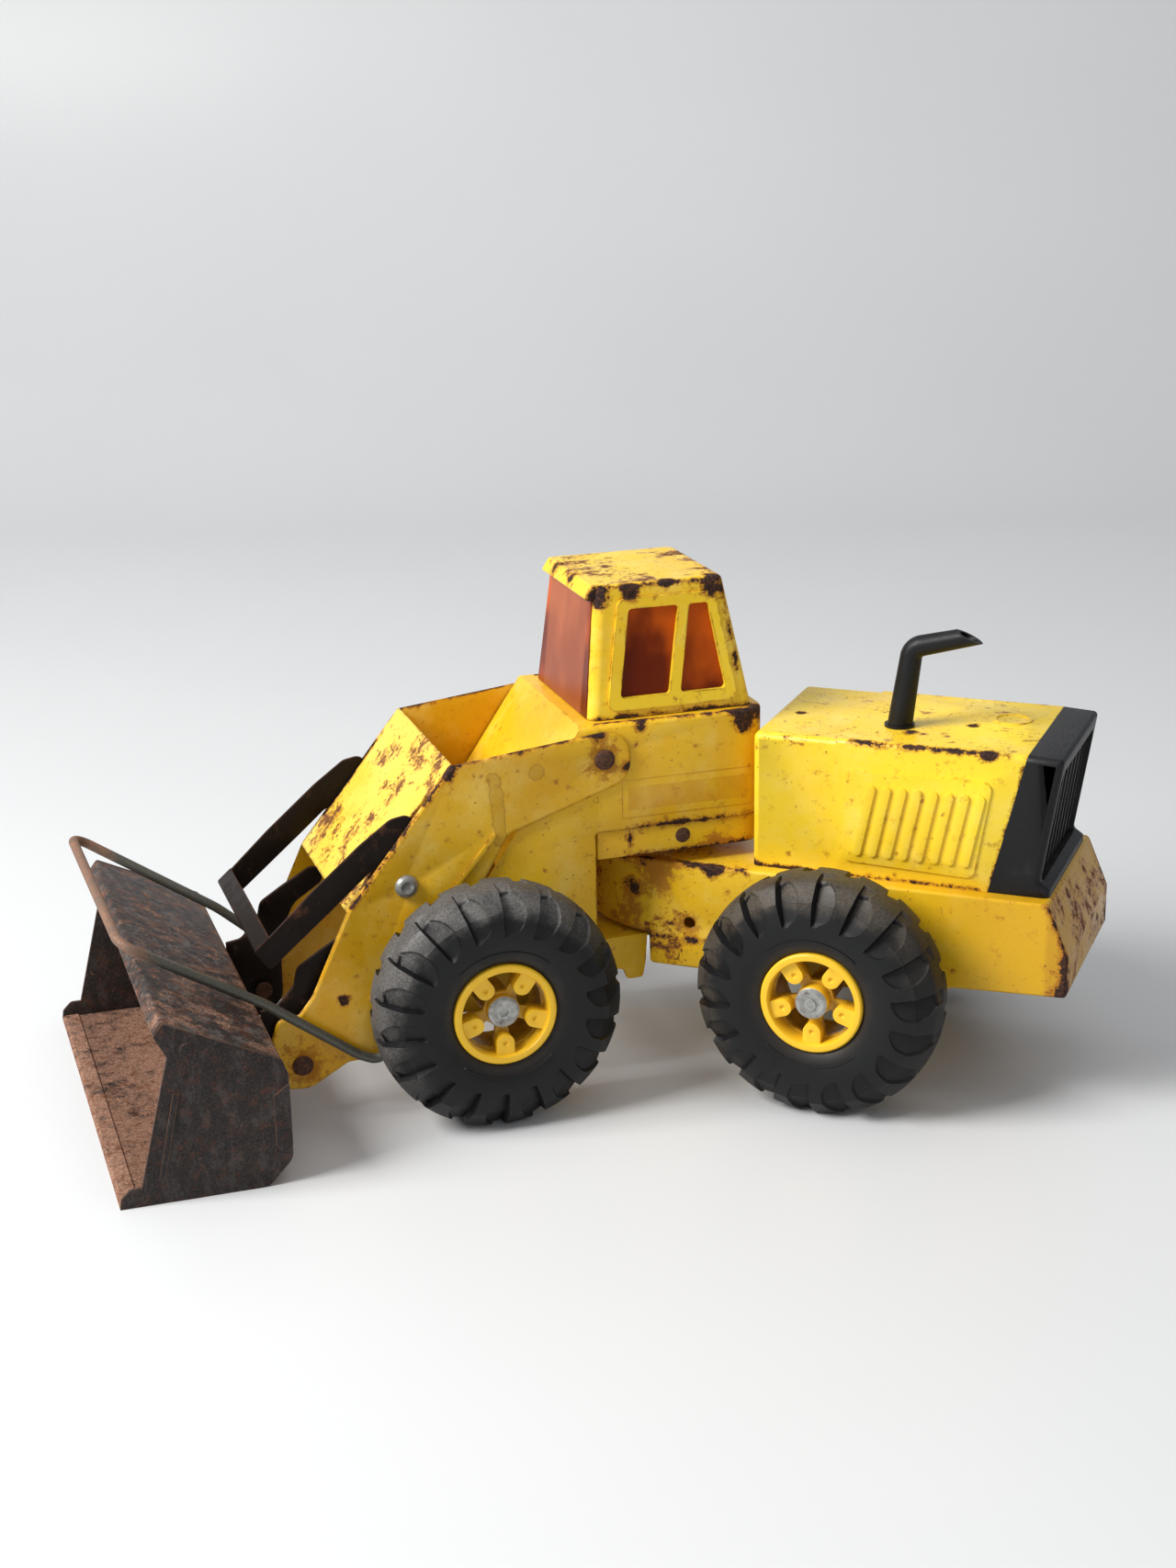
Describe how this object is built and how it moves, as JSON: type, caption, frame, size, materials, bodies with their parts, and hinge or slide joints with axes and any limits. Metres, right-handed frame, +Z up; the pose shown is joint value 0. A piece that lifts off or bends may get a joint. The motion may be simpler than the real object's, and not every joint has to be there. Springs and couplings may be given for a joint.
{
  "type": "toy front loader",
  "caption": "Articulated pressed-steel toy front loader with a pivoting bucket, lifting arms, tinted cab, steering centre joint and rolling wheels.",
  "frame": {"origin": "on the ground, under the middle of the loader's bounding box as it rests, bent at the steering pin", "axes": "+X towards the bucket along the front section, +Y to the front section's left, +Z up"},
  "size_m": [0.5058, 0.287, 0.246],
  "materials": {
    "yellow_enamel": "gloss enamel, chipped and rust-specked",
    "bucket_steel": "worn dark paint over rusted steel",
    "lever_black": "worn black paint with rust",
    "bail_wire": "aged plated wire, rusty across the front",
    "rivet_rust": "rusted",
    "zinc": "dull zinc plate",
    "tyre_black": "soft black, dusty tread",
    "rim_yellow": "satin moulded",
    "black_plastic": "satin moulded",
    "amber_plastic": "tinted, clear"
  },
  "bodies": {
    "front_section": {"front_body": "yellow_enamel", "front_rail": "yellow_enamel", "front_lower_arm": "yellow_enamel", "king_pin": "zinc", "lower_spacer": "zinc", "upper_spacer": "zinc", "cab_shell": "yellow_enamel", "cab_glazing": "amber_plastic", "boom_pivot_rivets": "rivet_rust", "rail_rivets": "yellow_enamel", "front_axle": "zinc", "front_axle_sleeves": "zinc", "front_axle_caps": "zinc"},
    "loader_arms": {"boom": "yellow_enamel", "lever_rod": "zinc", "lever_rod_caps": "zinc", "bucket_pivot_rivets": "rivet_rust"},
    "lever": {"tilt_lever": "lever_black"},
    "bail": {"wire_bail": "bail_wire"},
    "bucket": {"bucket_shell": "bucket_steel", "bucket_side_left": "bucket_steel", "bucket_side_right": "bucket_steel", "bucket_ear_left": "lever_black", "bucket_ear_right": "lever_black", "bucket_rivets": "bucket_steel"},
    "rear_section": {"rear_chassis": "yellow_enamel", "rear_pan": "yellow_enamel", "pan_rivets": "yellow_enamel", "hood": "yellow_enamel", "grille": "black_plastic", "exhaust_stack": "black_plastic", "rear_axle": "zinc", "rear_axle_sleeves": "zinc", "rear_axle_caps": "zinc"},
    "front_left_wheel": {"front_left_rim": "rim_yellow", "front_left_tyre": "tyre_black"},
    "front_right_wheel": {"front_right_rim": "rim_yellow", "front_right_tyre": "tyre_black"},
    "rear_left_wheel": {"rear_left_rim": "rim_yellow", "rear_left_tyre": "tyre_black"},
    "rear_right_wheel": {"rear_right_rim": "rim_yellow", "rear_right_tyre": "tyre_black"}
  },
  "joints": [
    {"name": "steering", "type": "hinge", "parent": "front_section", "child": "rear_section", "pos_m": [-0.06148, -0.02758, 0.1], "axis": [0, 0, 1], "range_deg": [-1, 79.5]},
    {"name": "boom_lift", "type": "hinge", "parent": "front_section", "child": "loader_arms", "pos_m": [0.00202, -0.02758, 0.1651], "axis": [0, -1, 0], "range_deg": [0, 58]},
    {"name": "bucket_tilt", "type": "hinge", "parent": "loader_arms", "child": "bucket", "pos_m": [0.15593, -0.02758, 0.0294], "axis": [0, 1, 0], "range_deg": [0, 60]},
    {"name": "lever_swing", "type": "hinge", "parent": "loader_arms", "child": "lever", "pos_m": [0.10172, -0.02758, 0.1135], "axis": [0, -1, 0], "range_deg": [0, 42]},
    {"name": "bail_swing", "type": "hinge", "parent": "loader_arms", "child": "bail", "pos_m": [0.11052, -0.02758, 0.038], "axis": [0, -1, 0], "range_deg": [0, 35]},
    {"name": "front_left_spin", "type": "hinge", "parent": "front_section", "child": "front_left_wheel", "pos_m": [0.06682, 0.05242, 0.06], "axis": [0, 1, 0], "continuous": true},
    {"name": "front_right_spin", "type": "hinge", "parent": "front_section", "child": "front_right_wheel", "pos_m": [0.06682, -0.10758, 0.06], "axis": [0, 1, 0], "continuous": true},
    {"name": "rear_left_spin", "type": "hinge", "parent": "rear_section", "child": "rear_left_wheel", "pos_m": [-0.08279, 0.09354, 0.06], "axis": [0.6353, 0.7723, 0], "continuous": true},
    {"name": "rear_right_spin", "type": "hinge", "parent": "rear_section", "child": "rear_right_wheel", "pos_m": [-0.18443, -0.03003, 0.06], "axis": [0.6353, 0.7723, 0], "continuous": true}
  ],
  "couplings": [
    {"joint": "lever_swing", "follows": "bucket_tilt", "ratio": 0.7}
  ]
}
